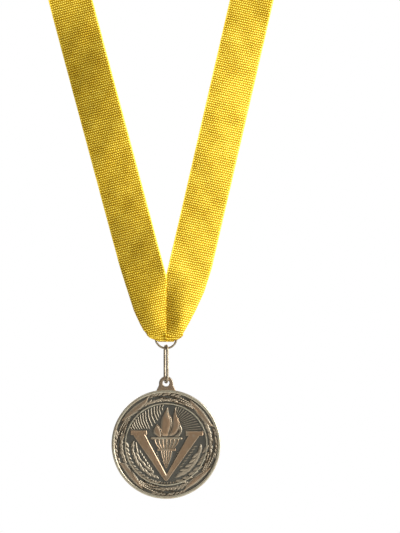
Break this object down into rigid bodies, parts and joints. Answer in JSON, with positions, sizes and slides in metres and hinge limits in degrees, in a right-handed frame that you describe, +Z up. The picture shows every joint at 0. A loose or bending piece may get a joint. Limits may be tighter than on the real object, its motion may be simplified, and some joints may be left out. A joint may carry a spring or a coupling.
{
  "type": "award medal on neck ribbon",
  "caption": "Round cast award medal with a torch and V relief, hung by a long link and a D ring from a V-sewn neck ribbon, with a gloss engraving plate on its back.",
  "frame": {"origin": "middle of the ribbon at the nape of the neck, where the wearer or a hook carries it", "axes": "+Z up, against the hanging medal; -Y is the way the relief faces; +X is to the right of someone who looks at the relief"},
  "size_m": [0.1401, 0.131, 0.3841],
  "materials": {
    "antique_bronze": "antiqued, polished on the high spots",
    "adhesive": "matte",
    "black_gloss": "gloss lacquer",
    "pale_wire": "bright plated",
    "yellow_ribbon": "ribbed woven, slight sheen",
    "yellow_thread": "matte thread"
  },
  "bodies": {
    "ribbon": {"ribbon_left_leg": "yellow_ribbon", "ribbon_right_leg": "yellow_ribbon", "ribbon_left_shoulder": "yellow_ribbon", "ribbon_right_shoulder": "yellow_ribbon", "ribbon_nape": "yellow_ribbon", "ribbon_ring_fold": "yellow_ribbon", "ribbon_stitching": "yellow_thread"},
    "ring": {"ribbon_ring": "pale_wire"},
    "link": {"long_link": "pale_wire"},
    "medal": {"medal_casting": "antique_bronze", "adhesive_disc": "adhesive", "engraving_plate": "black_gloss"}
  },
  "joints": [
    {"name": "ring_swing", "type": "hinge", "parent": "ribbon", "child": "ring", "pos_m": [0, -0.12395, -0.288], "axis": [1, 0, 0], "range_deg": [-60, 60]},
    {"name": "link_swing", "type": "hinge", "parent": "ring", "child": "link", "pos_m": [0, -0.12395, -0.29465], "axis": [1, 0, 0], "range_deg": [-60, 60]},
    {"name": "medal_swing", "type": "hinge", "parent": "link", "child": "medal", "pos_m": [0, -0.12395, -0.3125], "axis": [0, 1, 0], "range_deg": [-75, 75]}
  ]
}
